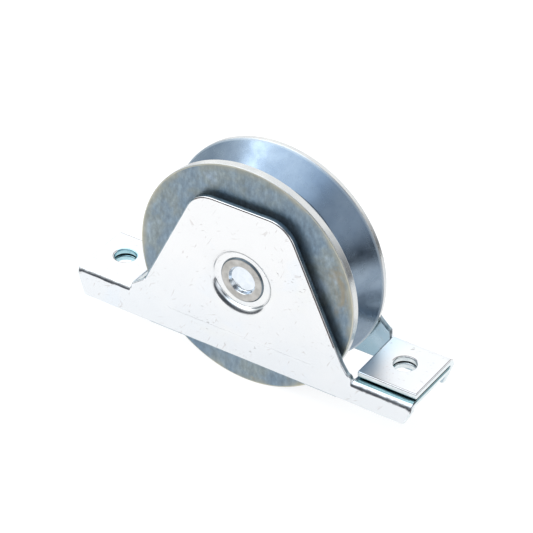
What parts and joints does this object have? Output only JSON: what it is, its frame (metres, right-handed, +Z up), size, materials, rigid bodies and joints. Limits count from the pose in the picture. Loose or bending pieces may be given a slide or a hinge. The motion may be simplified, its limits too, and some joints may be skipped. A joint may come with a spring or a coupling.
{
  "type": "gate wheel",
  "caption": "Sliding gate wheel with a V groove, on a ball bearing between two pressed steel bracket halves whose overlapping end flanges bolt under the gate's bottom rail.",
  "frame": {"origin": "centre of the wheel on the axle line, which is also the centre of the part's box", "axes": "X along the bracket and the track, Y along the axle with the front half at -Y, Z up towards the gate rail's inside"},
  "size_m": [0.1596, 0.0338, 0.1],
  "materials": {
    "zinc_sheet": "bright zinc plated pressed sheet, satin with faint scratches",
    "wheel_steel": "turned steel, clear zinc plated, mottled with a faint yellow edge",
    "pin_steel": "plain steel, satin",
    "bearing_steel": "ground and polished bearing steel",
    "spring_steel": "dark spring steel",
    "cage_steel": "pressed thin steel"
  },
  "bodies": {
    "bracket": {"bracket_half_front": "zinc_sheet", "bracket_half_rear": "zinc_sheet", "axle_pin": "pin_steel", "spacer_front": "pin_steel", "spacer_rear": "pin_steel", "bearing_inner_race": "bearing_steel"},
    "wheel": {"wheel": "wheel_steel", "bearing_outer_race": "bearing_steel", "bearing_circlip": "spring_steel", "bearing_shield_front": "cage_steel", "bearing_shield_rear": "cage_steel"},
    "cage": {"bearing_cage_front": "cage_steel", "bearing_cage_rear": "cage_steel", "bearing_ball_1": "bearing_steel", "bearing_ball_2": "bearing_steel", "bearing_ball_3": "bearing_steel", "bearing_ball_4": "bearing_steel", "bearing_ball_5": "bearing_steel", "bearing_ball_6": "bearing_steel", "bearing_ball_7": "bearing_steel", "bearing_ball_8": "bearing_steel"}
  },
  "joints": [
    {"name": "wheel_spin", "type": "hinge", "parent": "bracket", "child": "wheel", "pos_m": [0, 0, 0], "axis": [0, 1, 0], "continuous": true},
    {"name": "cage_spin", "type": "hinge", "parent": "bracket", "child": "cage", "pos_m": [0, 0, 0], "axis": [0, 1, 0], "continuous": true}
  ],
  "couplings": [
    {"joint": "cage_spin", "follows": "wheel_spin", "ratio": 0.6184}
  ]
}
